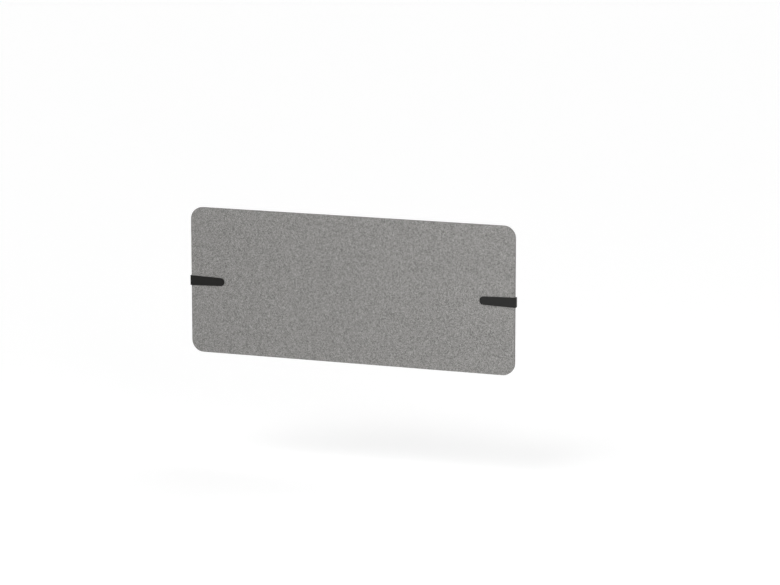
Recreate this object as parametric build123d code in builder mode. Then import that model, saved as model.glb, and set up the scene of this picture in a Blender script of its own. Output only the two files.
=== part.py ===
from build123d import *
import os

# Acoustic divider screen: a felt board held near mid height by a black steel strap at each side.
# Each strap lies on the board's front face, tapers to a round tip and is bent round the board's
# side edge. Behind the board a plate clamps it against the strap, and a tab welded to that plate
# carries the screen.
# Millimetres. X runs along the board, +Z is up and the face with the straps looks along -Y.
# The origin is the centre of the four holes in the tabs, on the tabs' top faces.

# Felt board, pressed from a core and two facings
board_width = 1400.0
board_height = 600.0
board_corner_radius = 50.0
facing_thickness = 3.0
core_thickness = 6.0
arris_radius = 1.0

# Steel sheet that the straps and the rear plates are cut from
sheet_thickness = 3.0
edge_break = 0.5

# Straps: the arm's reach counts from the board's side edge to the tip
arm_reach = 147.0
strap_root_height = 41.0
strap_tip_height = 32.0
tip_flat = 1.0
bend_inner_radius = 0.8
side_clearance = 2.0
plate_end_clearance = 0.3
strap_height_on_board = 296.0

# Tabs: plates with two holes each, one behind the other, and a weld bead below at the root
tab_thickness = 3.0
tab_width = 55.0
tab_corner_radius = 8.0
tab_hole_radius = 2.75
tab_hole_spacing = 35.0
first_hole_distance = 25.0
last_hole_margin = 17.0
weld_leg = 3.0
weld_bulge = 0.4
weld_end_inset = 4.0

# Standoffs: sleeves through the board, welded to the strap, with a blind M5 thread from behind
screw_end_distance = 20.0
standoff_radius = 5.0
standoff_clearance = 0.3
standoff_floor = 2.0
thread_radius = 2.5
thread_clearance = 0.05
thread_chamfer = 0.4

# Screws and washers: button heads with a hexagon socket
screw_end_gap = 2.0
plate_hole_clearance = 0.25
washer_radius = 5.0
washer_thickness = 1.0
washer_hole_clearance = 0.15
head_radius = 4.75
head_height = 2.75
head_rim_height = 0.6
head_crown_radius = 2.6
socket_across_flats = 3.0
socket_depth = 1.6

# Places from back to front
board_thickness = 2 * facing_thickness + core_thickness
tab_end_y = tab_hole_spacing / 2 + last_hole_margin
plate_back_y = -first_hole_distance - tab_hole_spacing / 2
board_back_y = plate_back_y - sheet_thickness
core_back_y = board_back_y - facing_thickness
front_facing_back_y = core_back_y - core_thickness
board_front_y = board_back_y - board_thickness
strap_front_y = board_front_y - sheet_thickness

# Places up the board
strap_z = -tab_thickness / 2
board_z = strap_z - strap_height_on_board + board_height / 2

# Places from the middle of the board outwards
board_edge_x = board_width / 2
web_inner_x = board_edge_x + side_clearance
web_outer_x = web_inner_x + sheet_thickness
plate_outer_x = web_inner_x - plate_end_clearance
tip_x = board_edge_x - arm_reach
inner_screw_x = tip_x + screw_end_distance
outer_screw_x = board_edge_x - screw_end_distance
tab_x = (inner_screw_x + outer_screw_x) / 2

# Sizes that follow from the others
tip_corner_radius = (strap_tip_height - tip_flat) / 2
standoff_hole_radius = standoff_radius + standoff_clearance
thread_depth = board_thickness - standoff_floor
screw_length = washer_thickness + sheet_thickness + thread_depth - screw_end_gap

sides = {"left": -1, "right": 1}
screw_places = {"inner": inner_screw_x, "outer": outer_screw_x}

os.makedirs("parts", exist_ok=True)


def board_outline():
    """Draw the board's outline and its four standoff holes in the current sketch."""
    holes = [(way * x, strap_z) for way in sides.values() for x in screw_places.values()]
    with Locations((0, board_z)):
        RectangleRounded(board_width, board_height, board_corner_radius)
    with Locations(*holes):
        Circle(standoff_hole_radius, mode=Mode.SUBTRACT)


def strap_height(x):
    """Height of the tapering arm at the distance x from the middle of the board."""
    share = (x - tip_x) / (web_outer_x - tip_x)
    return strap_tip_height + share * (strap_root_height - strap_tip_height)


def arm_outline(outer_x):
    """Draw the tapering arm with its round tip, from the tip out to outer_x."""
    root = strap_height(outer_x) / 2
    tip = strap_tip_height / 2
    corners = [
        (tip_x, strap_z - tip),
        (outer_x, strap_z - root),
        (outer_x, strap_z + root),
        (tip_x, strap_z + tip),
    ]
    Polygon(*corners, align=None)
    fillet(vertices().group_by(Axis.X)[0], tip_corner_radius)


# Rear facing, with the arris of its back face rounded
with BuildPart() as rear_felt:
    with BuildSketch(Plane.XZ.offset(-board_back_y)):
        board_outline()
    extrude(amount=facing_thickness)
    fillet(rear_felt.faces().sort_by(Axis.Y)[-1].outer_wire().edges(), arris_radius)
rear_felt.part.label = "rear_felt"
export_step(rear_felt.part, "parts/rear_felt.step")

# Core
with BuildPart() as core_board:
    with BuildSketch(Plane.XZ.offset(-core_back_y)):
        board_outline()
    extrude(amount=core_thickness)
core_board.part.label = "core_board"
export_step(core_board.part, "parts/core_board.step")

# Front facing, with the arris of its front face rounded
with BuildPart() as front_felt:
    with BuildSketch(Plane.XZ.offset(-front_facing_back_y)):
        board_outline()
    extrude(amount=facing_thickness)
    fillet(front_felt.faces().sort_by(Axis.Y)[0].outer_wire().edges(), arris_radius)
front_felt.part.label = "front_felt"
export_step(front_felt.part, "parts/front_felt.step")


def make_strap(side):
    """Strap: an arm on the front face, bent round the board's side edge."""
    with BuildPart() as strap:
        with BuildSketch(Plane.XY.offset(strap_z - strap_root_height / 2)) as section:
            with BuildLine():
                Polyline(
                    (tip_x, strap_front_y),
                    (web_outer_x, strap_front_y),
                    (web_outer_x, plate_back_y),
                    (web_inner_x, plate_back_y),
                    (web_inner_x, board_front_y),
                    (tip_x, board_front_y),
                    close=True,
                )
            make_face()
            outer_corner = section.vertices().group_by(Axis.Y)[0].sort_by(Axis.X)[-1]
            fillet(outer_corner, bend_inner_radius + sheet_thickness)
            web_inner_line = section.vertices().filter_by_position(Axis.X, web_inner_x, web_inner_x)
            fillet(web_inner_line.sort_by(Axis.Y)[0], bend_inner_radius)
        extrude(amount=strap_root_height)
        with BuildSketch(Plane.XZ.offset(-plate_back_y)):
            arm_outline(web_outer_x)
        extrude(amount=plate_back_y - strap_front_y, mode=Mode.INTERSECT)
        # The outer skin is the front face, the bend and the web, and only its rim is broken
        front_face = strap.faces().sort_by(Axis.Y)[0]
        web_face = strap.faces().sort_by(Axis.X)[-1]
        bend_face = strap.faces().filter_by(GeomType.CYLINDER).sort_by(Axis.X)[-1]
        skin_edges = front_face.edges() + bend_face.edges() + web_face.edges()
        rim = [edge for edge in skin_edges if sum(edge.is_same(other) for other in skin_edges) == 1]
        fillet(rim, edge_break)
        if sides[side] < 0:
            mirror(about=Plane.YZ, mode=Mode.REPLACE)
    strap.part.label = f"{side}_strap"
    export_step(strap.part, f"parts/{side}_strap.step")


def make_rear_plate(side):
    """Rear plate: the arm's outline again, behind the board, inside the strap's return."""
    with BuildPart() as plate:
        with BuildSketch(Plane.XZ.offset(-plate_back_y)):
            arm_outline(plate_outer_x)
            with Locations(*[(x, strap_z) for x in screw_places.values()]):
                Circle(thread_radius + plate_hole_clearance, mode=Mode.SUBTRACT)
        extrude(amount=sheet_thickness)
        fillet(plate.faces().sort_by(Axis.Y)[-1].outer_wire().edges(), edge_break)
        if sides[side] < 0:
            mirror(about=Plane.YZ, mode=Mode.REPLACE)
    plate.part.label = f"{side}_rear_plate"
    export_step(plate.part, f"parts/{side}_rear_plate.step")


def make_tab(side):
    """Tab: a flat plate welded square to the rear plate, with two screw holes."""
    tab_length = tab_end_y - plate_back_y
    with BuildPart() as tab:
        with BuildSketch(Plane.XY.offset(-tab_thickness)) as outline:
            with Locations((tab_x, plate_back_y + tab_length / 2)):
                Rectangle(tab_width, tab_length)
            fillet(outline.vertices().group_by(Axis.Y)[-1], tab_corner_radius)
            with Locations((tab_x, -tab_hole_spacing / 2), (tab_x, tab_hole_spacing / 2)):
                Circle(tab_hole_radius, mode=Mode.SUBTRACT)
        extrude(amount=tab_thickness)
        flat_faces = tab.faces().filter_by(Axis.Z)
        rims = [edge for face in flat_faces for edge in face.outer_wire().edges()]
        fillet([edge for edge in rims if edge.center().Y > plate_back_y + edge_break], edge_break)
        with BuildSketch(Plane.YZ.offset(tab_x - tab_width / 2 + weld_end_inset)):
            with BuildLine():
                bead_foot = (plate_back_y, -tab_thickness - weld_leg)
                bead_top = (plate_back_y + weld_leg, -tab_thickness)
                SagittaArc(bead_foot, bead_top, -weld_bulge)
                Polyline(bead_top, (plate_back_y, -tab_thickness), bead_foot)
            make_face()
        extrude(amount=tab_width - 2 * weld_end_inset)
        if sides[side] < 0:
            mirror(about=Plane.YZ, mode=Mode.REPLACE)
    tab.part.label = f"{side}_tab"
    export_step(tab.part, f"parts/{side}_tab.step")


def make_standoff(side, place, x):
    """Standoff: a sleeve as long as the board is thick, threaded from behind."""
    with BuildPart() as standoff:
        with BuildSketch(Plane.XZ.offset(-board_back_y)):
            with Locations((x, strap_z)):
                Circle(standoff_radius)
        extrude(amount=board_thickness)
        with Locations(standoff.faces().sort_by(Axis.Y)[-1]):
            Hole(thread_radius + thread_clearance, depth=thread_depth)
        mouth = standoff.faces().sort_by(Axis.Y)[-1].inner_wires()[0]
        chamfer(mouth.edges(), thread_chamfer)
    standoff.part.label = f"{side}_standoff_{place}"
    export_step(standoff.part, f"parts/{side}_standoff_{place}.step")


def make_washer(side, place, x):
    """Flat washer on the rear plate's back face."""
    with BuildPart() as washer:
        with BuildSketch(Plane.XZ.offset(-plate_back_y - washer_thickness)):
            with Locations((x, strap_z)):
                Circle(washer_radius)
                Circle(thread_radius + washer_hole_clearance, mode=Mode.SUBTRACT)
        extrude(amount=washer_thickness)
    washer.part.label = f"{side}_washer_{place}"
    export_step(washer.part, f"parts/{side}_washer_{place}.step")


def make_screw(side, place, x):
    """Button-head screw, its head seated on the washer."""
    seat_y = plate_back_y + washer_thickness
    top_y = seat_y + head_height
    end_y = seat_y - screw_length
    with BuildPart() as screw:
        with BuildSketch(Plane.XY.offset(strap_z)):
            with BuildLine():
                flank = Polyline(
                    (x, top_y),
                    (x, end_y),
                    (x + thread_radius - thread_chamfer, end_y),
                    (x + thread_radius, end_y + thread_chamfer),
                    (x + thread_radius, seat_y),
                    (x + head_radius, seat_y),
                    (x + head_radius, seat_y + head_rim_height),
                )
                crown = TangentArc(flank @ 1, (x + head_crown_radius, top_y), tangent=(0, 1))
                Line(crown @ 1, flank @ 0)
            make_face()
        revolve(axis=Axis((x, seat_y, strap_z), (0, 1, 0)))
        with BuildSketch(Plane.XZ.offset(-top_y)):
            with Locations((x, strap_z)):
                RegularPolygon(socket_across_flats / 2, 6, major_radius=False)
        extrude(amount=socket_depth, mode=Mode.SUBTRACT)
    screw.part.label = f"{side}_screw_{place}"
    export_step(screw.part, f"parts/{side}_screw_{place}.step")


for side, way in sides.items():
    make_strap(side)
    make_rear_plate(side)
    make_tab(side)
    for place, distance in screw_places.items():
        make_standoff(side, place, way * distance)
        make_washer(side, place, way * distance)
        make_screw(side, place, way * distance)
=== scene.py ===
"""Acoustic divider screen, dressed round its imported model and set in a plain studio.

Metres throughout, in the model's own frame: X runs along the board, +Z is up, and the face that
carries the straps looks along -Y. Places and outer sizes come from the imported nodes' boxes, and
the sizes that a box can't tell are fields of the class that uses them.
"""

import logging
import math
from abc import ABC, abstractmethod
from collections.abc import Mapping, Sequence
from dataclasses import dataclass
from enum import Enum, IntEnum
from functools import cached_property
from typing import Any, NamedTuple, Union

import bmesh
import bpy
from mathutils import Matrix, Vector

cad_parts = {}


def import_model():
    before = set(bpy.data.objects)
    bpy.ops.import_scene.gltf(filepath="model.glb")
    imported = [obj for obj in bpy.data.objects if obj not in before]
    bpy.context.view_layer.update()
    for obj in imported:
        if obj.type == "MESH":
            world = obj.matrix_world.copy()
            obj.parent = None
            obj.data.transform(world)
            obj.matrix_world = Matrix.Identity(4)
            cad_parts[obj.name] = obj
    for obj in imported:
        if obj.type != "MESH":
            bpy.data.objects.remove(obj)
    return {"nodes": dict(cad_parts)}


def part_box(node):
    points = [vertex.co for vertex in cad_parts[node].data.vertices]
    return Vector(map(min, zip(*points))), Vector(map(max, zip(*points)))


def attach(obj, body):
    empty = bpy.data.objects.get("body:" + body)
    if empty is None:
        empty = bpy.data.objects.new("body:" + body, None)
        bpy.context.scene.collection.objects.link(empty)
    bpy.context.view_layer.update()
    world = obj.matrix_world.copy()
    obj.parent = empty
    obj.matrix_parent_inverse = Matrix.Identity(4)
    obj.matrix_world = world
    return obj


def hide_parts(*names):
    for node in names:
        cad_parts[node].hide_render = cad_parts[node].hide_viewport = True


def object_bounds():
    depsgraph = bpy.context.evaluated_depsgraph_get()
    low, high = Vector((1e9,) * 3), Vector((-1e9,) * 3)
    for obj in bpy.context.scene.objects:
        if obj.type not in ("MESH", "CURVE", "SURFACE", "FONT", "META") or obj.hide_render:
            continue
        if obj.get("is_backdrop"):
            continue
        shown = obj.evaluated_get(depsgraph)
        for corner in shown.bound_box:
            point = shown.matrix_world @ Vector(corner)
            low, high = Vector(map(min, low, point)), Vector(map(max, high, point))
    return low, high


log = logging.getLogger("divider_screen")

MM = 0.001
BODY = "root"
QUARTER_TURN = math.pi / 2
# Packed boxes are read to the hundredth of a millimetre, and closer points of a mesh are one
BOX_DIGITS = 5
SEAM = 0.01 * MM
# A value as good as 0, and a smaller one that settles a tie
TINY = 1e-6
TIE = 1e-7

Colour = tuple[float, float, float]
Point = tuple[float, float, float]
Socket = bpy.types.NodeSocket
Scalar = Union[float, "Number"]


class Axis(IntEnum):
    """The axes of the model's frame."""

    X = 0
    Y = 1
    Z = 2


class Side(Enum):
    """An end of the board, as the nodes spell it."""

    LEFT = "left"
    RIGHT = "right"


class Fixing(Enum):
    """The place of a screw along its arm, as the nodes spell it."""

    INNER = "inner"
    OUTER = "outer"


class Facing(Enum):
    """A facing of the board, with the sign of the way it looks along -Y."""

    FRONT = 1
    REAR = -1

    @property
    def word(self) -> str:
        """The facing's name as the nodes spell it."""
        return self.name.lower()


class Span(NamedTuple):
    """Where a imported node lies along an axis."""

    low: float
    middle: float
    high: float
    size: float

    @classmethod
    def of(cls, node: str, axis: Axis) -> "Span":
        """The span of a node's box."""
        low, high = (corner[axis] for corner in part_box(node))
        return cls(*(round(v, BOX_DIGITS) for v in (low, (low + high) / 2, high, high - low)))


# Node building


class Number:
    """A number that nodes work out, written with Python's own operators."""

    def __init__(self, graph: "Graph", socket: Socket) -> None:
        """Wrap one output of a graph."""
        self.graph = graph
        self.socket = socket

    def __add__(self, other: Scalar) -> "Number":
        """Self plus other."""
        return self.graph.math("ADD", self, other)

    def __radd__(self, other: Scalar) -> "Number":
        """Other plus self."""
        return self.graph.math("ADD", other, self)

    def __sub__(self, other: Scalar) -> "Number":
        """Self less other."""
        return self.graph.math("SUBTRACT", self, other)

    def __rsub__(self, other: Scalar) -> "Number":
        """Other less self."""
        return self.graph.math("SUBTRACT", other, self)

    def __mul__(self, other: Scalar) -> "Number":
        """Self times other."""
        return self.graph.math("MULTIPLY", self, other)

    def __rmul__(self, other: Scalar) -> "Number":
        """Other times self."""
        return self.graph.math("MULTIPLY", other, self)

    def __truediv__(self, other: Scalar) -> "Number":
        """Self over other."""
        return self.graph.math("DIVIDE", self, other)

    def __abs__(self) -> "Number":
        """Self without its sign."""
        return self.graph.math("ABSOLUTE", self)

    def sign(self) -> "Number":
        """-1, 0 or 1, as self is."""
        return self.graph.math("SIGN", self)

    def root(self) -> "Number":
        """Square root of self."""
        return self.graph.math("SQRT", self)

    def cosine(self) -> "Number":
        """Cosine of self."""
        return self.graph.math("COSINE", self)

    def sine(self) -> "Number":
        """Sine of self."""
        return self.graph.math("SINE", self)

    def least(self, other: Scalar) -> "Number":
        """The smaller of self and other."""
        return self.graph.math("MINIMUM", self, other)

    def most(self, other: Scalar) -> "Number":
        """The larger of self and other."""
        return self.graph.math("MAXIMUM", self, other)

    def over(self, other: Scalar) -> "Number":
        """1 where self is above other, else 0."""
        return self.graph.math("GREATER_THAN", self, other)

    def between(self, low: Scalar, high: Scalar, smooth: bool = False) -> "Number":
        """Where self lies between two values.

        Args:
            low: Gives 0, and so does anything before it.
            high: Gives 1, and so does anything past it.
            smooth: Whether the rise eases in and out.

        Returns:
            A number from 0 to 1.
        """
        share = self.graph.output(
            "ShaderNodeMapRange",
            {"interpolation_type": "SMOOTHSTEP" if smooth else "LINEAR", "clamp": True},
            {"Value": self, "From Min": low, "From Max": high},
        )
        return Number(self.graph, share)


class Graph:
    """Adds nodes and links to one node tree."""

    def __init__(self, tree: bpy.types.NodeTree) -> None:
        """Work on a tree."""
        self.tree = tree

    def node(
        self,
        kind: str,
        settings: Mapping[str, Any] | None = None,
        inputs: Mapping[str | int, Any] | None = None,
    ) -> bpy.types.Node:
        """Add any node.

        Args:
            kind: The node's type name.
            settings: Its properties, set first.
            inputs: Values or links of its sockets, by name or by number.

        Returns:
            The node.
        """
        made = self.tree.nodes.new(kind)
        for name, value in (settings or {}).items():
            setattr(made, name, value)
        for key, value in (inputs or {}).items():
            socket = self._input(made, key)
            source = value.socket if isinstance(value, Number) else value
            if isinstance(source, bpy.types.NodeSocket):
                self.tree.links.new(source, socket)
            else:
                socket.default_value = source
        return made

    @staticmethod
    def _input(made: bpy.types.Node, key: str | int) -> Socket:
        """The input that has a number, or the one in use that has a name."""
        named = (s for s in made.inputs if s.enabled and s.name == key)
        return made.inputs[key] if isinstance(key, int) else next(named)

    def output(
        self,
        kind: str,
        settings: Mapping[str, Any] | None = None,
        inputs: Mapping[str | int, Any] | None = None,
    ) -> Socket:
        """Add a node, as node does, and give its first output in use."""
        return next(s for s in self.node(kind, settings, inputs).outputs if s.enabled)

    def math(self, operation: str, *values: Scalar) -> Number:
        """The result of a Math node on some values."""
        inputs = dict(enumerate(values))
        return Number(self, self.output("ShaderNodeMath", {"operation": operation}, inputs))

    def join(self, x: Scalar, y: Scalar, z: Scalar) -> Socket:
        """A vector from its three parts."""
        return self.output("ShaderNodeCombineXYZ", inputs={"X": x, "Y": y, "Z": z})

    def split(self, vector: Socket) -> tuple[Number, Number, Number]:
        """The three parts of a vector."""
        made = self.node("ShaderNodeSeparateXYZ", inputs={0: vector})
        return tuple(Number(self, made.outputs[axis]) for axis in Axis)

    def vector(self, operation: str, *values: Any, scale: Scalar | None = None) -> Socket:
        """One Vector Math node.

        Args:
            operation: What it does.
            values: The vectors it does it to.
            scale: The factor, where the operation is SCALE.

        Returns:
            The resulting vector.
        """
        inputs: dict[str | int, Any] = dict(enumerate(values))
        if scale is not None:
            inputs["Scale"] = scale
        return self.output("ShaderNodeVectorMath", {"operation": operation}, inputs)

    def noise(self, place: Socket, grain: float, detail: float = 1.0, decay: float = 0.5) -> Number:
        """Noise from 0 to 1, with features as large as a grain and finer octaves that decay."""
        inputs = {"Vector": place, "Scale": 1.0 / grain, "Detail": detail, "Roughness": decay}
        return Number(self, self.output("ShaderNodeTexNoise", inputs=inputs))


class ShaderGraph(Graph):
    """The nodes of one material."""

    def __init__(self, material: bpy.types.Material) -> None:
        """Empty a material's tree and start it afresh.

        Args:
            material: The material to fill.
        """
        material.use_nodes = True
        super().__init__(material.node_tree)
        self.tree.nodes.clear()
        self.place = self.node("ShaderNodeTexCoord").outputs["Object"]

    def mix(self, share: Scalar, first: Any, second: Any) -> Socket:
        """Two colours mixed, with the second's share from 0 to 1."""
        inputs = {"Factor": share, "A": _opaque(first), "B": _opaque(second)}
        return self.output("ShaderNodeMix", {"data_type": "RGBA"}, inputs)

    def bump(self, height: Scalar, depth: float, strength: float) -> Socket:
        """A normal bent by a height, where a height of 1 stands for the depth."""
        inputs = {"Strength": strength, "Distance": depth, "Height": height}
        return self.output("ShaderNodeBump", inputs=inputs)

    def finish(self, surface: Mapping[str, Any]) -> None:
        """Add the surface shader and the output.

        Args:
            surface: The shader's inputs by name.
        """
        inputs = {**surface, "Base Color": _opaque(surface["Base Color"])}
        shader = self.output("ShaderNodeBsdfPrincipled", inputs=inputs)
        self.node("ShaderNodeOutputMaterial", inputs={"Surface": shader})


def _opaque(colour: Any) -> Any:
    """A colour with its alpha, or the link as it is."""
    return (*colour, 1.0) if isinstance(colour, tuple) and len(colour) == 3 else colour


class GeometryGraph(Graph):
    """A geometry tree with named sizes, and the way to turn it into a plain mesh."""

    def __init__(self, name: str, sizes: Mapping[str, float | int]) -> None:
        """Start a tree.

        Args:
            name: The tree's name.
            sizes: Its named inputs and their values in common use.
        """
        tree = bpy.data.node_groups.new(name, "GeometryNodeTree")
        super().__init__(tree)
        ports = tree.interface
        ports.new_socket("Geometry", in_out="OUTPUT", socket_type="NodeSocketGeometry")
        for label, value in sizes.items():
            kind = "NodeSocketInt" if isinstance(value, int) else "NodeSocketFloat"
            ports.new_socket(label, in_out="INPUT", socket_type=kind).default_value = value
        ports.new_socket("Finish", in_out="INPUT", socket_type="NodeSocketMaterial")
        self._source = self.node("NodeGroupInput")
        self.place = self.output("GeometryNodeInputPosition")

    def size(self, label: str) -> Number:
        """The named input's value."""
        return Number(self, self._source.outputs[label])

    def moved(self, geometry: Socket, to: Socket) -> Socket:
        """The geometry with its points put elsewhere."""
        inputs = {"Geometry": geometry, "Position": to}
        return self.output("GeometryNodeSetPosition", inputs=inputs)

    def joined(self, *parts: Socket) -> Socket:
        """Join several geometries.

        Args:
            parts: The geometries.

        Returns:
            All of them as one.
        """
        made = self.node("GeometryNodeJoinGeometry")
        for part in parts:
            self.tree.links.new(part, made.inputs[0])
        return made.outputs[0]

    def merged(self, geometry: Socket) -> Socket:
        """The geometry with points that are closer than a seam made one."""
        inputs = {"Geometry": geometry, "Distance": SEAM}
        return self.output("GeometryNodeMergeByDistance", inputs=inputs)

    def real(self, geometry: Socket) -> Socket:
        """The geometry with its instances made real."""
        return self.output("GeometryNodeRealizeInstances", inputs={"Geometry": geometry})

    def line(self, count: Scalar, start: Any, end: Any) -> Socket:
        """A number of points spaced evenly along a straight line, from its start to its end."""
        # Between two ends, the socket called Offset takes the last point
        inputs = {"Count": count, "Start Location": start, "Offset": end}
        return self.output("GeometryNodeMeshLine", {"mode": "END_POINTS"}, inputs)

    def end(self, geometry: Socket) -> None:
        """Close the tree, with real geometry and the finish on it.

        Args:
            geometry: What the tree makes.
        """
        inputs = {"Geometry": self.real(geometry), "Material": self._source.outputs["Finish"]}
        dressed = self.output("GeometryNodeSetMaterial", inputs=inputs)
        self.node("NodeGroupOutput", inputs={"Geometry": dressed})

    def piece(
        self, name: str, finish: bpy.types.Material, sizes: Mapping[str, float | int]
    ) -> bpy.types.Object:
        """Run the tree once and keep its result as a plain mesh.

        Args:
            name: The piece's name.
            finish: Its material.
            sizes: The inputs that differ from their usual values.

        Returns:
            The piece, at the origin, its place in its mesh.
        """
        holder = bpy.data.objects.new(f"{name}_holder", bpy.data.meshes.new(f"{name}_holder"))
        bpy.context.scene.collection.objects.link(holder)
        modifier = holder.modifiers.new(name, "NODES")
        modifier.node_group = self.tree
        values = {**sizes, "Finish": finish}
        for port in self.tree.interface.items_tree:
            if port.in_out == "INPUT" and port.name in values:
                modifier[port.identifier] = values[port.name]
        graph = bpy.context.evaluated_depsgraph_get()
        mesh = bpy.data.meshes.new_from_object(
            holder.evaluated_get(graph), preserve_all_data_layers=True, depsgraph=graph
        )
        bpy.data.objects.remove(holder)
        mesh.name = name
        piece = bpy.data.objects.new(name, mesh)
        bpy.context.scene.collection.objects.link(piece)
        return piece


# Noises of a surface


class Sway(NamedTuple):
    """How strongly a surface is swayed in its tone, its roughness and its relief."""

    tone: Scalar = 0.0
    roughness: Scalar = 0.0
    relief: Scalar = 0.0


@dataclass(frozen=True)
class Mottle:
    """One noise of a surface, the sway it has, and its value that sways nothing."""

    grain: float
    sway: Sway
    detail: float = 1.0
    decay: float = 0.5
    still: float = 0.5
    # The size of the space it is read in, along each axis, where that isn't the model's own
    stretch: Point | None = None

    def noise(self, g: Graph, place: Socket) -> Number:
        """The noise at a place, from 0 to 1."""
        there = place if self.stretch is None else g.vector("DIVIDE", place, self.stretch)
        return g.noise(there, self.grain, self.detail, self.decay)


def swayed(g: Graph, place: Socket, mottles: Sequence[Mottle]) -> Sway:
    """How far several noises sway a surface together.

    Args:
        g: The graph.
        place: Where they are read.
        mottles: The noises.

    Returns:
        The sum of their sways there.
    """
    swings = [(mottle.noise(g, place) - mottle.still, mottle.sway) for mottle in mottles]
    totals = []
    for quality in range(len(Sway._fields)):
        totals.append(sum(swing * sway[quality] for swing, sway in swings if sway[quality]))
    return Sway(*totals)


# Finishes


@dataclass(frozen=True)
class Finish(ABC):
    """The look of a piece, and the record's slot that it belongs to."""

    name: str
    slot: str

    @abstractmethod
    def surface(self, g: ShaderGraph) -> dict[str, Any]:
        """Work out the surface.

        Args:
            g: The material's graph.

        Returns:
            The surface shader's inputs by name.
        """

    @cached_property
    def material(self) -> bpy.types.Material:
        """The finished material, made at its first use.

        Returns:
            The material.
        """
        made = bpy.data.materials.new(self.name)
        g = ShaderGraph(made)
        g.finish(self.surface(g))
        return made


@dataclass(frozen=True)
class Comb:
    """The ways that fibres lie in the felt's plane, in degrees from X, and how large they are."""

    length: float
    breadth: float
    angles: tuple[float, ...]
    # Each way starts elsewhere along X and Z, by so much a degree, so that no two look alike
    slip: tuple[float, float] = (0.37 * MM, 0.21 * MM)

    def lays(self, g: ShaderGraph, place: Socket) -> list[Number]:
        """Noises drawn out along the fibres, one for each way they lie.

        Args:
            g: The material's graph.
            place: Where they are read.

        Returns:
            The noises, each centred on 0.5.
        """
        lays = []
        for angle in self.angles:
            inputs = {
                "Vector": place,
                "Location": (self.slip[0] * angle, 0.0, self.slip[1] * angle),
                "Rotation": (0.0, math.radians(angle), 0.0),
                "Scale": (self.length, self.breadth, self.breadth),
            }
            drawn = g.output("ShaderNodeMapping", {"vector_type": "TEXTURE"}, inputs)
            lays.append(g.noise(drawn, 1.0))
        return lays


@dataclass(frozen=True)
class Strands:
    """One kind of fibre that shows at the felt's surface."""

    colour: Colour
    comb: Comb
    cover: float
    in_deep_locks: float
    in_pale_locks: float
    rise: float
    gloss: float = 0.0
    sparse: float = 0.57
    dense: float = 0.66

    def mask(self, g: ShaderGraph, place: Socket, paler: Number) -> Number:
        """Where the fibres show.

        Args:
            g: The material's graph.
            place: Where they are read.
            paler: How pale the lock there is, from 0 to 1.

        Returns:
            A number from 0, none, to 1.
        """
        lays = self.comb.lays(g, place)
        shown = sum(lay.between(self.sparse, self.dense, smooth=True) for lay in lays)
        share = self.in_deep_locks + paler * (self.in_pale_locks - self.in_deep_locks)
        return shown.least(1.0) * share


DEEP_STRANDS = Strands(
    colour=(0.042, 0.0412, 0.040),
    comb=Comb(7 * MM, 0.40 * MM, (38, 98, 158)),
    cover=0.92,
    in_deep_locks=1.0,
    in_pale_locks=0.15,
    rise=-0.25,
)
PALE_STRANDS = Strands(
    colour=(0.46, 0.452, 0.438),
    comb=Comb(8 * MM, 0.36 * MM, (8, 68, 128)),
    cover=0.86,
    in_deep_locks=0.15,
    in_pale_locks=1.0,
    rise=0.25,
    gloss=0.08,
)
HAIRS = Strands(
    colour=(0.40, 0.3935, 0.3815),
    comb=Comb(5 * MM, 0.20 * MM, (22, 84, 146)),
    cover=0.70,
    in_deep_locks=0.4,
    in_pale_locks=1.0,
    rise=0.15,
)


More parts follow.
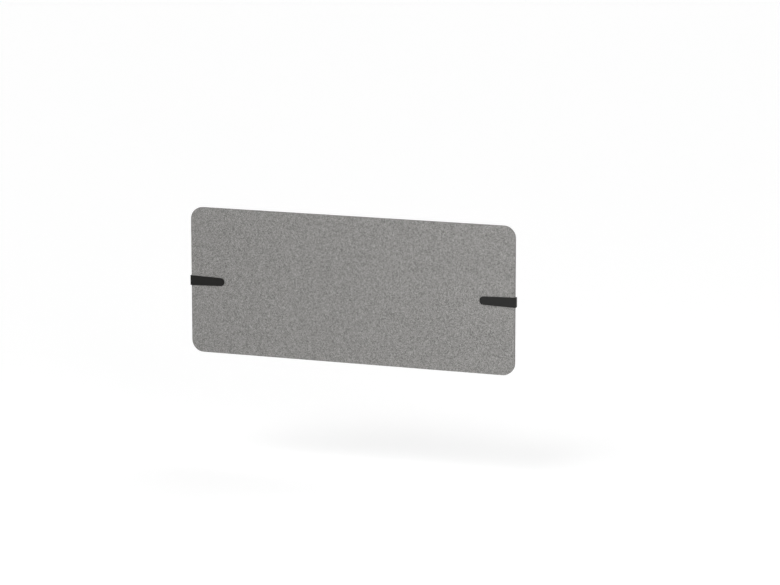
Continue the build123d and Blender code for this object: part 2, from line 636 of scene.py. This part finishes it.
@dataclass(frozen=True)
class MelangeFelt(Finish):
    """Pressed felt of pale and deep grey fibres; its cut edge is darker, partly its own tone and
    partly painted shade.
    """

    ground: Colour = (0.200, 0.1965, 0.190)
    strands: tuple[Strands, ...] = (DEEP_STRANDS, PALE_STRANDS, HAIRS)
    # Fibres bend as they lie, and gather in locks of one shade or the other
    bend_grain: float = 14 * MM
    bend_reach: float = 9 * MM
    locks: Comb = Comb(11 * MM, 1.7 * MM, (15, 75, 135))
    lock_tone: float = 0.8
    parting: tuple[float, float] = (0.38, 0.62)
    # Patches, clouds, a broad drift and the fuzz
    mottles: tuple[Mottle, ...] = (
        Mottle(14 * MM, Sway(tone=0.45), detail=0.0),
        Mottle(34 * MM, Sway(tone=0.32)),
        Mottle(160 * MM, Sway(tone=0.09)),
        Mottle(0.3 * MM, Sway(tone=0.8, relief=0.5)),
    )
    # How squarely a place looks along Y where the cut edge ends, and where the face begins
    turned: tuple[float, float] = (0.45, 0.85)
    # The cut edge's tone factor, partly the cut felt's own darker tone and partly painted shade on
    # the rim
    cut_edge_tone_and_painted_shade: float = 0.84
    roughness: float = 0.94
    relief_depth: float = 0.45 * MM
    relief_strength: float = 0.8
    specular: float = 0.2
    sheen: float = 0.08
    sheen_roughness: float = 0.6

    def _curled(self, g: ShaderGraph) -> Socket:
        """Swing places to and fro so that straight fibres bend.

        Args:
            g: The material's graph.

        Returns:
            The swung place.
        """
        inputs = {"Vector": g.place, "Scale": 1.0 / self.bend_grain, "Detail": 1.0}
        bend = g.node("ShaderNodeTexNoise", inputs=inputs).outputs["Color"]
        swing = g.vector("SUBTRACT", bend, (0.5, 0.5, 0.5))
        return g.vector("ADD", g.place, g.vector("SCALE", swing, scale=self.bend_reach))

    def _edge_tone_and_painted_shade(self, g: ShaderGraph) -> Number:
        """Tell the faces from the cut edge, whose darkening is partly its own tone and partly
        painted shade.

        Args:
            g: The material's graph.

        Returns:
            The factor on the tone: 1 on the faces and less on the cut edge, partly as painted
                shade.
        """
        normal = g.node("ShaderNodeNewGeometry").outputs["Normal"]
        faced = abs(g.split(normal)[Axis.Y]).between(*self.turned, smooth=True)
        # Darker as the surface turns away from Y: partly the cut's own tone, partly painted shade
        return self.cut_edge_tone_and_painted_shade + (1.0 - self.cut_edge_tone_and_painted_shade) * faced

    def surface(self, g: ShaderGraph) -> dict[str, Any]:
        """Work out the felt's surface.

        Args:
            g: The material's graph.

        Returns:
            The surface shader's inputs by name.
        """
        curled = self._curled(g)
        lays = self.locks.lays(g, curled)
        lock = sum(lays) - (len(lays) - 1) / 2
        paler = lock.between(*self.parting, smooth=True)
        sway = swayed(g, g.place, self.mottles)
        tone = 1.0 + (lock - 0.5) * self.lock_tone + sway.tone
        # The edge factor paints shade on the rim besides the cut felt's own darker tone
        colour = g.vector("SCALE", self.ground, scale=tone * self._edge_tone_and_painted_shade(g))
        height, roughness = sway.relief, self.roughness
        for strands in self.strands:
            mask = strands.mask(g, curled, paler)
            colour = g.mix(mask * strands.cover, colour, strands.colour)
            height = height + mask * strands.rise
            if strands.gloss:
                roughness = roughness - mask * strands.gloss
        return {
            "Base Color": colour,
            "Roughness": roughness,
            "Normal": g.bump(height, self.relief_depth, self.relief_strength),
            "Specular IOR Level": self.specular,
            "Sheen Weight": self.sheen,
            "Sheen Roughness": self.sheen_roughness,
        }


@dataclass(frozen=True)
class SteelFinish(Finish):
    """A finish on steel, mottled by noises."""

    colour: Colour
    roughness: float
    mottles: tuple[Mottle, ...]
    relief_depth: float
    relief_strength: float
    metallic: float = 0.0
    specular: float = 0.5

    def surface(self, g: ShaderGraph) -> dict[str, Any]:
        """Work out the steel's surface.

        Args:
            g: The material's graph.

        Returns:
            The surface shader's inputs by name.
        """
        sway = swayed(g, g.place, self.mottles)
        return {
            "Base Color": g.vector("SCALE", self.colour, scale=1.0 + sway.tone),
            "Roughness": self.roughness + sway.roughness,
            "Metallic": self.metallic,
            "Normal": g.bump(sway.relief, self.relief_depth, self.relief_strength),
            "Specular IOR Level": self.specular,
        }


@dataclass(frozen=True)
class PowderCoat(SteelFinish):
    """Matte black powder coat with its clouds, fine orange peel and grit."""

    colour: Colour = (0.0107, 0.0105, 0.0099)
    roughness: float = 0.35
    mottles: tuple[Mottle, ...] = (
        Mottle(24 * MM, Sway(tone=0.5, roughness=0.16), detail=2.0),
        Mottle(2.4 * MM, Sway(tone=0.4, relief=0.6)),
        Mottle(0.55 * MM, Sway(tone=0.8, roughness=0.16, relief=0.4), decay=0.4),
    )
    relief_depth: float = 0.22 * MM
    relief_strength: float = 0.7
    specular: float = 0.12


@dataclass(frozen=True)
class ZincPlate(SteelFinish):
    """Turned steel with bright zinc on it, clouded by bloom and marked by the tool."""

    colour: Colour = (0.56, 0.57, 0.58)
    roughness: float = 0.32
    mottles: tuple[Mottle, ...] = (
        Mottle(3 * MM, Sway(tone=0.30, roughness=0.25), detail=2.0),
        Mottle(
            1.0,
            Sway(tone=0.20, roughness=0.15, relief=1.0),
            detail=2.0,
            stretch=(4 * MM, 0.12 * MM, 4 * MM),
        ),
    )
    relief_depth: float = 0.02 * MM
    relief_strength: float = 0.6
    metallic: float = 1.0


@dataclass(frozen=True)
class BlackOxide(SteelFinish):
    """Blackened steel of the screws and washers, rubbed paler where its mottle peaks."""

    colour: Colour = (0.030, 0.030, 0.031)
    roughness: float = 0.36
    mottles: tuple[Mottle, ...] = (
        Mottle(1.6 * MM, Sway(roughness=0.22, relief=0.5), detail=3.0, decay=0.6),
        Mottle(0.15 * MM, Sway(roughness=0.12, relief=0.5)),
    )
    relief_depth: float = 0.02 * MM
    relief_strength: float = 0.5
    metallic: float = 0.35
    rubbed_range: tuple[float, float] = (0.60, 0.80)
    rubbed_colour: Colour = (0.11, 0.11, 0.115)
    rubbed_cover: float = 0.25
    rubbed_metallic: float = 0.30

    def surface(self, g: ShaderGraph) -> dict[str, Any]:
        """Work out the steel's surface, with its rubbed places.

        Args:
            g: The material's graph.

        Returns:
            The surface shader's inputs by name.
        """
        inputs = super().surface(g)
        rubbed = self.mottles[0].noise(g, g.place).between(*self.rubbed_range, smooth=True)
        cover = rubbed * self.rubbed_cover
        inputs["Base Color"] = g.mix(cover, inputs["Base Color"], self.rubbed_colour)
        inputs["Metallic"] = self.metallic + rubbed * self.rubbed_metallic
        return inputs


FACING_FELT = MelangeFelt("felt_facing", "felt")
CORE_FELT = MelangeFelt("felt_pressed_core", "felt_core", ground=(0.189, 0.1855, 0.180))
BLACK_COAT = PowderCoat("black_powder_coat", "black_steel")
ZINC = ZincPlate("zinc_plate", "zinc_steel")
OXIDE = BlackOxide("black_oxide", "black_screw")


def dress(node: bpy.types.Object, finish: Finish) -> None:
    """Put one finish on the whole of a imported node.

    Args:
        node: The node's object.
        finish: The finish.
    """
    if not node.material_slots:
        node.data.materials.append(finish.material)
    for slot in node.material_slots:
        slot.material = finish.material
    log.info("%s: dressed in %s", node.name, finish.name)


def settle(piece: bpy.types.Object, crease: float) -> None:
    """Turn a closed piece's faces outwards, shade it smooth and let it ride on the model.

    Args:
        piece: The piece.
        crease: Edges bent more than this stay sharp, in degrees.
    """
    work = bmesh.new()
    work.from_mesh(piece.data)
    bmesh.ops.recalc_face_normals(work, faces=work.faces)
    work.to_mesh(piece.data)
    work.free()
    piece.data.polygons.foreach_set("use_smooth", [True] * len(piece.data.polygons))
    piece.data.set_sharp_from_angle(angle=math.radians(crease))
    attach(piece, BODY)
    triangles = sum(len(face.vertices) - 2 for face in piece.data.polygons)
    log.info("%s: %d triangles", piece.name, triangles)


# Sub-assemblies


@dataclass
class ArmOutline:
    """The tapering arm that the straps and rear plates share, as seen from the front."""

    tip_x: float
    outer_x: float
    level: float
    tip_height: float = 32.0 * MM
    root_height: float = 41.0 * MM
    tip_radius: float = 15.5 * MM

    @classmethod
    def from_frame(cls) -> "ArmOutline":
        """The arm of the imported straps."""
        along = Span.of("right_strap", Axis.X)
        return cls(along.low, along.high, Span.of("right_strap", Axis.Z).middle)

    def distance(self, x: Number, z: Number) -> Number:
        """How far a place in the board's plane is from the arm.

        Args:
            x: The place's X.
            z: The place's height in the model's frame.

        Returns:
            The distance, below 0 on the arm.
        """
        along = abs(x)
        growth = (self.root_height - self.tip_height) / (self.outer_x - self.tip_x)
        half = self.tip_height / 2 + (along - self.tip_x) * (growth / 2)
        past = (self.tip_x + self.tip_radius - along).most(0.0)
        above = (abs(z - self.level) - half + self.tip_radius).most(0.0)
        return (past * past + above * above).root() - self.tip_radius


@dataclass
class FeltBoard:
    """The felt board: two facings on a pressed core, with its round corners and cut rim."""

    width: float
    height: float
    centre_z: float
    back_y: float
    facing_thickness: float
    core_thickness: float
    hole_places: tuple[float, ...]
    arm: ArmOutline
    corner_radius: float = 50.0 * MM
    arris_radius: float = 1.0 * MM
    hole_radius: float = 5.3 * MM
    # The faces stand proud by their loft and swell in waves
    loft: float = 0.30 * MM
    waviness: float = 0.45 * MM
    face_waves: tuple[Mottle, ...] = (
        Mottle(110 * MM, Sway(relief=1.0)),
        Mottle(24 * MM, Sway(relief=0.45)),
        Mottle(8 * MM, Sway(relief=0.22)),
    )
    # The rim is ragged where it was cut, down to a depth inside the edge
    raggedness: float = 0.22 * MM
    rim_depth: float = 3 * MM
    rim_waves: tuple[Mottle, ...] = (
        Mottle(3.5 * MM, Sway(relief=1.0), detail=2.0, decay=0.6, still=0.62),
        Mottle(60 * MM, Sway(relief=1.0)),
    )
    # Distances from an arm at which the felt is pressed flat, and free again
    face_press: tuple[float, float] = (-0.5 * MM, 9 * MM)
    rim_press: tuple[float, float] = (1 * MM, 10 * MM)
    # Cells of the mesh from the rim inwards, and the widths of the runs that they divide
    arris_cells: int = 4
    strap_run: tuple[int, float] = (80, 160.0 * MM)
    middle_columns: int = 148
    outer_rows: int = 72
    middle_run: tuple[int, float] = (18, 36.0 * MM)
    wall_cells: int = 3
    core_cells: int = 6
    drill_sides: int = 48
    drill_depth: float = 40 * MM
    crease: float = 50.0

    @classmethod
    def from_frame(cls) -> "FeltBoard":
        """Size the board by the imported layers, standoffs and straps.

        Returns:
            The board.
        """
        up = Span.of("front_felt", Axis.Z)
        standoffs = (f"right_standoff_{fixing.value}" for fixing in Fixing)
        return cls(
            width=Span.of("front_felt", Axis.X).size,
            height=up.size,
            centre_z=up.middle,
            back_y=Span.of("rear_felt", Axis.Y).high,
            facing_thickness=Span.of("front_felt", Axis.Y).size,
            core_thickness=Span.of("core_board", Axis.Y).size,
            hole_places=tuple(Span.of(standoff, Axis.X).middle for standoff in standoffs),
            arm=ArmOutline.from_frame(),
        )

    def _inset(self, g: GeometryGraph, steps: Number, runs: Sequence[tuple[int, Scalar]]) -> Number:
        """How far a row of the mesh lies inside the rim.

        Args:
            g: The tree.
            steps: The row's number, counted from the rim.
            runs: The cells and the width of each run past the arris.

        Returns:
            The distance from the board's edge.
        """
        turned = steps.between(0.0, self.arris_cells) * QUARTER_TURN
        reach = g.size("Arris Radius") * (1.0 - turned.cosine())
        start = self.arris_cells
        for cells, width in runs:
            reach = reach + steps.between(start, start + cells) * width
            start += cells
        return reach

    def _plan(self, g: GeometryGraph, rounded: bool) -> Socket:
        """The board's outline as a grid whose rows follow its rim and turn its corners.

        Args:
            g: The tree.
            rounded: Whether the outer rows roll over the arris or lie flat at the back.

        Returns:
            The grid, with its outside towards +Z.
        """
        half_columns = self.arris_cells + self.strap_run[0] + self.middle_columns
        half_rows = self.arris_cells + self.outer_rows + self.middle_run[0]
        grid = g.output(
            "GeometryNodeMeshGrid",
            inputs={
                "Size X": 2.0 * half_columns,
                "Size Y": 2.0 * half_rows,
                "Vertices X": 2 * half_columns + 1,
                "Vertices Y": 2 * half_rows + 1,
            },
        )
        column, row, _ = g.split(g.place)
        arris, radius = g.size("Arris Radius"), g.size("Corner Radius")
        half_width, half_height = g.size("Width") / 2, g.size("Height") / 2
        across = half_columns - abs(column)
        up = half_rows - abs(row)
        middle_width = half_width - arris - self.strap_run[1]
        outer_height = half_height - arris - self.middle_run[1]
        x_runs = [self.strap_run, (self.middle_columns, middle_width)]
        y_runs = [(self.outer_rows, outer_height), self.middle_run]
        x = half_width - self._inset(g, across, x_runs)
        y = half_height - self._inset(g, up, y_runs)
        # Inside each corner's square the rows turn round the corner's centre
        corner_x, corner_y = half_width - radius, half_height - radius
        u = (x - corner_x).most(0.0) / radius
        v = (y - corner_y).most(0.0) / radius
        far, near = u.most(v), u.least(v)
        swing = near / far.most(TINY) * (QUARTER_TURN / 2)
        major, minor = far * swing.cosine(), far * swing.sine()
        wide = (u - v + TIE).over(0.0)
        u = minor + (major - minor) * wide
        v = major + (minor - major) * wide
        x = column.sign() * (x.least(corner_x) + radius * u)
        y = row.sign() * (y.least(corner_y) + radius * v)
        if not rounded:
            return g.moved(grid, g.join(x, y, 0.0))
        roll = across.least(up).between(0.0, self.arris_cells) * QUARTER_TURN
        return g.moved(grid, g.join(x, y, g.size("Thickness") - arris * (1.0 - roll.sine())))

    @staticmethod
    def _lid(g: GeometryGraph, mesh: Socket, rim: Socket) -> Socket:
        """A flat face inside a mesh's rim, at Z 0, with its outside towards +Z."""
        curve = g.output("GeometryNodeMeshToCurve", inputs={"Mesh": mesh, "Selection": rim})
        return g.output("GeometryNodeFillCurve", {"mode": "NGONS"}, {"Curve": curve})

    @staticmethod
    def _open_edges(g: GeometryGraph) -> Socket:
        """Find the edges that have one face only.

        Args:
            g: The tree.

        Returns:
            Whether an edge is one of them.
        """
        faces = g.output("GeometryNodeInputMeshEdgeNeighbors")
        settings = {"data_type": "INT", "operation": "EQUAL"}
        return g.output("FunctionNodeCompare", settings, {"A": faces, "B": 1})

    def _closed(self, g: GeometryGraph, shell: Socket, lid: Socket) -> Socket:
        """The shell closed by its lid, with the standoffs' holes through it.

        Args:
            g: The tree.
            shell: The open shell.
            lid: The face that closes it, its outside towards +Z.

        Returns:
            The closed and drilled layer.
        """
        turned = g.output("GeometryNodeFlipFaces", inputs={"Mesh": lid})
        whole = g.merged(g.joined(shell, turned))
        level = self.arm.level - self.centre_z
        pairs = (g.line(2, (-x, level, 0.0), (x, level, 0.0)) for x in self.hole_places)
        drill = g.output(
            "GeometryNodeMeshCylinder",
            {"fill_type": "NGON"},
            {
                "Vertices": self.drill_sides,
                "Radius": g.size("Hole Radius"),
                "Depth": self.drill_depth,
            },
        )
        places = {"Points": g.joined(*pairs), "Instance": drill}
        drills = g.real(g.output("GeometryNodeInstanceOnPoints", inputs=places))
        return g.output(
            "GeometryNodeMeshBoolean",
            {"operation": "DIFFERENCE", "solver": "MANIFOLD"},
            {"Mesh 1": whole, "Mesh 2": drills},
        )

    def _pressed(self, g: GeometryGraph, layer: Socket, faced: bool) -> Socket:
        """Give a layer its cut rim and its pressed face, and stand it up in its place.

        Args:
            g: The tree.
            layer: The layer, lying with its outside towards +Z.
            faced: Whether it has a face that shows.

        Returns:
            The layer in the model's frame.
        """
        x, y, z = g.split(g.place)
        radius, side, base_y = g.size("Corner Radius"), g.size("Side"), g.size("Base Y")
        thickness = g.size("Thickness")
        height = y + self.centre_z
        here = g.join(x, base_y - side * z, height)
        clear = self.arm.distance(x, height)
        beyond_x = (abs(x) - (g.size("Width") / 2 - radius)).most(0.0)
        beyond_y = (abs(y) - (g.size("Height") / 2 - radius)).most(0.0)
        beyond = (beyond_x * beyond_x + beyond_y * beyond_y).root()
        rim = beyond.between(radius - self.rim_depth, radius, smooth=True)
        ragged = swayed(g, here, self.rim_waves).relief * g.size("Raggedness")
        out = rim * ragged * clear.between(*self.rim_press, smooth=True) / beyond.most(TINY)
        rise: Scalar = 0.0
        if faced:
            face = z.between(thickness - g.size("Arris Radius"), thickness)
            relief = swayed(g, here, self.face_waves).relief * g.size("Waviness")
            free = clear.between(*self.face_press, smooth=True)
            rise = face * (g.size("Loft") + relief) * free
        moved_x = x + x.sign() * beyond_x * out
        moved_y = y + y.sign() * beyond_y * out
        placed = g.join(moved_x, base_y - side * (z + rise), moved_y + self.centre_z)
        return g.moved(layer, placed)

    def _sizes(self) -> dict[str, float | int]:
        """The trees' named inputs at their usual values."""
        return {
            "Width": self.width,
            "Height": self.height,
            "Corner Radius": self.corner_radius,
            "Thickness": self.facing_thickness,
            "Arris Radius": self.arris_radius,
            "Hole Radius": self.hole_radius,
            "Base Y": self.back_y,
            "Side": 1.0,
            "Loft": self.loft,
            "Waviness": self.waviness,
            "Raggedness": self.raggedness,
        }

    def _facing_tree(self) -> GeometryGraph:
        """Build the tree of a facing: a rolled-over face, its wall and a flat back.

        Returns:
            The tree.
        """
        g = GeometryGraph("felt_facing", self._sizes())
        shell, rim = self._plan(g, rounded=True), self._open_edges(g)
        drop = (g.size("Arris Radius") - g.size("Thickness")) / self.wall_cells
        for _ in range(self.wall_cells):
            inputs = {"Mesh": shell, "Selection": rim, "Offset": g.join(0.0, 0.0, drop)}
            wall = g.node("GeometryNodeExtrudeMesh", {"mode": "EDGES"}, inputs)
            shell, rim = wall.outputs["Mesh"], wall.outputs["Top"]
        g.end(self._pressed(g, self._closed(g, shell, self._lid(g, shell, rim)), faced=True))
        return g

    def _core_tree(self) -> GeometryGraph:
        """Build the tree of the core: a plain slab whose rim alone shows.

        Returns:
            The tree.
        """
        g = GeometryGraph("felt_core", self._sizes())
        lid = self._lid(g, self._plan(g, rounded=False), self._open_edges(g))
        step = g.join(0.0, 0.0, g.size("Thickness") / self.core_cells)
        shell, top = lid, True
        for _ in range(self.core_cells):
            inputs = {"Mesh": shell, "Selection": top, "Offset": step, "Individual": False}
            raised = g.node("GeometryNodeExtrudeMesh", {"mode": "FACES"}, inputs)
            shell, top = raised.outputs["Mesh"], raised.outputs["Top"]
        g.end(self._pressed(g, self._closed(g, shell, lid), faced=False))
        return g

    def build(self) -> None:
        """Make the three layers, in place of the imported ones."""
        facing_tree = self._facing_tree()
        core_back_y = self.back_y - self.facing_thickness
        core_front_y = core_back_y - self.core_thickness
        for facing, base_y in ((Facing.FRONT, core_front_y), (Facing.REAR, core_back_y)):
            sizes = {"Base Y": base_y, "Side": float(facing.value)}
            piece = facing_tree.piece(f"{facing.word}_felt_facing", FACING_FELT.material, sizes)
            settle(piece, self.crease)
            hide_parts(f"{facing.word}_felt")
        sizes = {"Base Y": core_back_y, "Thickness": self.core_thickness}
        piece = self._core_tree().piece("felt_core", CORE_FELT.material, sizes)
        settle(piece, self.crease)
        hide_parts("core_board")


@dataclass
class WeldBead:
    """The bead below a tab's root: overlapping ripples, fused into one mesh."""

    tab_thickness: float = 3.0 * MM
    end_inset: float = 4.5 * MM
    reach: float = 2.85 * MM
    pitch: float = 1.3 * MM
    # A ripple's half length in pitches, and how far its reach varies
    overlap: float = 0.95
    spread: tuple[float, float] = (0.94, 1.03)
    lean: float = 24.0
    seed: int = 11
    segments: int = 16
    rings: int = 10
    crease: float = 40.0

    @cached_property
    def _tree(self) -> GeometryGraph:
        """The tree that both sides' beads share.

        Returns:
            The tree.
        """
        sizes = {"Reach": self.reach, "Pitch": self.pitch, "Seed": self.seed}
        places = dict.fromkeys(("Start X", "End X", "Root Y", "Root Z"), 0.0)
        g = GeometryGraph("weld_bead", {**places, **sizes})
        start, end, root_y, root_z = (g.size(label) for label in places)
        pitch, (least, most) = g.size("Pitch"), self.spread
        count = abs(end - start) / pitch
        line = g.line(count, g.join(start, root_y, root_z), g.join(end, root_y, root_z))
        ball = {"Segments": self.segments, "Rings": self.rings, "Radius": 1.0}
        limits = {"Min": least, "Max": most, "Seed": g.size("Seed")}
        share = g.output("FunctionNodeRandomValue", {"data_type": "FLOAT"}, limits)
        across = g.size("Reach") * Number(g, share)
        turn = {0: (0.0, 0.0, math.radians(self.lean))}
        ripples = g.output(
            "GeometryNodeInstanceOnPoints",
            inputs={
                "Points": line,
                "Instance": g.output("GeometryNodeMeshUVSphere", inputs=ball),
                "Rotation": g.output("FunctionNodeEulerToRotation", inputs=turn),
                "Scale": g.join(pitch * self.overlap, across, across),
            },
        )
        settings = {"operation": "UNION", "solver": "MANIFOLD"}
        g.end(g.merged(g.output("GeometryNodeMeshBoolean", settings, {"Mesh": ripples})))
        return g

    def build(self, side: Side) -> None:
        """Lay the bead below the root of one side's tab.

        Args:
            side: The side.
        """
        tab = f"{side.value}_tab"
        along = Span.of(tab, Axis.X)
        sizes = {
            "Start X": along.low + self.end_inset,
            "End X": along.high - self.end_inset,
            "Root Y": Span.of(tab, Axis.Y).low,
            "Root Z": Span.of(tab, Axis.Z).high - self.tab_thickness,
        }
        piece = self._tree.piece(f"{side.value}_weld_bead", BLACK_COAT.material, sizes)
        settle(piece, self.crease)


@dataclass
class StrapBracket:
    """One side's bracket: strap, rear plate, tab and the screws that draw them together."""

    side: Side
    weld: WeldBead

    def build(self, nodes: Mapping[str, bpy.types.Object]) -> None:
        """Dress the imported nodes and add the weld's bead.

        Args:
            nodes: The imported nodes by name.
        """
        for part in ("strap", "rear_plate", "tab"):
            dress(nodes[f"{self.side.value}_{part}"], BLACK_COAT)
        for fixing in Fixing:
            for part, finish in (("standoff", ZINC), ("washer", OXIDE), ("screw", OXIDE)):
                dress(nodes[f"{self.side.value}_{part}_{fixing.value}"], finish)
        self.weld.build(self.side)


# Studio


@dataclass
class Lamp(ABC):
    """A soft lamp that the camera doesn't see."""

    name: str
    place: Point
    target: Point
    power: float

    @abstractmethod
    def light(self) -> bpy.types.Light:
        """The light itself, before its power is set."""

    def build(self) -> None:
        """Hang the lamp and aim it."""
        light = self.light()
        light.energy = self.power
        lamp = bpy.data.objects.new(self.name, light)
        bpy.context.scene.collection.objects.link(lamp)
        lamp.location = self.place
        aim = Vector(self.target) - Vector(self.place)
        lamp.rotation_euler = aim.to_track_quat("-Z", "Y").to_euler()
        lamp.visible_camera = False


@dataclass
class PanelLamp(Lamp):
    """A square panel, brighter near it, with its power in watts."""

    size: float = 2.0

    def light(self) -> bpy.types.Light:
        """Make the panel's light.

        Returns:
            The light.
        """
        made = bpy.data.lights.new(self.name, "AREA")
        made.shape, made.size = "SQUARE", self.size
        return made


@dataclass
class FarLamp(Lamp):
    """A lamp so far away that it lights the whole floor alike, with its power per square metre."""

    spread: float = 40.0

    def light(self) -> bpy.types.Light:
        """Make the far lamp's light.

        Returns:
            The light.
        """
        made = bpy.data.lights.new(self.name, "SUN")
        made.angle = math.radians(self.spread)
        return made


@dataclass
class Studio:
    """Pale floor, soft light and the camera."""

    floor_z: float = -717.5 * MM
    floor_radius: float = 70.0
    floor_sides: int = 96
    floor_grey: float = 0.80
    floor_grain: float = 9 * MM
    floor_speckle: float = 0.01
    floor_glow: float = 0.29
    sky_level: float = 0.42
    lens: float = 151.4
    sensor: float = 36.0
    sight: float = 200.0
    camera_place: Point = (4.8677, -12.0802, 2.3619)
    camera_turn: tuple[float, float, float] = (79.649, 0.0, 21.333)
    lamps: tuple[Lamp, ...] = (
        FarLamp("key", (-2.2, -3.0, 5.2), (0.0, 0.0, 0.0), 1.05, spread=45.0),
        FarLamp("back", (1.0, 3.2, 3.0), (0.0, 0.0, 0.0), 0.85, spread=60.0),
        PanelLamp("fill", (2.3, -2.6, 0.9), (0.3, 0.0, 0.0), 35.0, size=1.8),
        PanelLamp("front", (-0.8, -5.0, -0.3), (0.6, 0.0, 0.0), 27.0, size=0.6),
    )

    @staticmethod
    def _seen(g: Graph) -> Number:
        """1 for rays that show the background itself, to the eye or in a reflection."""
        rays = g.node("ShaderNodeLightPath").outputs
        return Number(g, rays["Is Camera Ray"]).most(
            Number(g, rays["Is Glossy Ray"]).most(Number(g, rays["Is Transmission Ray"]))
        )

    def _paper(self) -> bpy.types.Material:
        """Make the floor's material, pale to the eye and keeping its shadow.

        Returns:
            The material.
        """
        made = bpy.data.materials.new("floor_paper")
        g = ShaderGraph(made)
        grain = g.noise(g.place, self.floor_grain, detail=2.0)
        grey = self.floor_grey * (1.0 + (grain - 0.5) * self.floor_speckle)
        paper = g.output("ShaderNodeBsdfDiffuse", inputs={"Color": g.join(grey, grey, grey)})
        glow = g.output("ShaderNodeEmission", inputs={"Strength": self._seen(g) * self.floor_glow})
        both = g.output("ShaderNodeAddShader", inputs={0: paper, 1: glow})
        g.node("ShaderNodeOutputMaterial", inputs={"Surface": both})
        return made

    def _floor(self) -> None:
        """Lay the floor."""
        mesh = bpy.data.meshes.new("studio_floor")
        work = bmesh.new()
        bmesh.ops.create_circle(
            work, cap_ends=True, radius=self.floor_radius, segments=self.floor_sides
        )
        bmesh.ops.translate(work, verts=work.verts, vec=(0.0, 0.0, self.floor_z))
        work.to_mesh(mesh)
        work.free()
        mesh.materials.append(self._paper())
        floor = bpy.data.objects.new("studio_floor", mesh)
        bpy.context.scene.collection.objects.link(floor)
        floor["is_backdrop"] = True

    def _sky(self) -> None:
        """Surround the scene with even light that shows as white."""
        world = bpy.data.worlds.new("studio_sky")
        bpy.context.scene.world = world
        world.use_nodes = True
        g = Graph(world.node_tree)
        g.tree.nodes.clear()
        strength = self.sky_level + self._seen(g) * (1.0 - self.sky_level)
        inputs = {"Color": (1.0, 1.0, 1.0, 1.0), "Strength": strength}
        sky = g.output("ShaderNodeBackground", inputs=inputs)
        g.node("ShaderNodeOutputWorld", inputs={"Surface": sky})

    def _camera(self) -> None:
        """Set the camera where the picture was taken from."""
        data = bpy.data.cameras.new("camera")
        data.lens, data.sensor_width = self.lens, self.sensor
        data.clip_end = self.sight
        camera = bpy.data.objects.new("camera", data)
        bpy.context.scene.collection.objects.link(camera)
        camera.location = self.camera_place
        camera.rotation_euler = [math.radians(angle) for angle in self.camera_turn]
        bpy.context.scene.camera = camera

    def build(self) -> None:
        """Set up the whole studio."""
        bpy.context.scene.view_settings.view_transform = "Standard"
        self._camera()
        self._sky()
        self._floor()
        for lamp in self.lamps:
            lamp.build()
        log.info("studio: %d lamps", len(self.lamps))


def write_sizes(model: tuple[Vector, Vector], dressed: tuple[Vector, Vector]) -> None:
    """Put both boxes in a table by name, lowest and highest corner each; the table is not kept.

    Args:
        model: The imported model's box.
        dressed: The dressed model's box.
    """
    boxes = {"cad": model, "visual": dressed}
    {name: [list(corner) for corner in box] for name, box in boxes.items()}


def main() -> None:
    """Load the model, dress it and set the studio round it."""
    logging.basicConfig(level=logging.INFO, format="%(name)s: %(message)s")
    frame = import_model()
    model_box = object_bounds()
    Studio().build()
    FeltBoard.from_frame().build()
    weld = WeldBead()
    for side in Side:
        StrapBracket(side, weld).build(frame["nodes"])
    write_sizes(model_box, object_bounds())


if __name__ == "__main__":
    main()
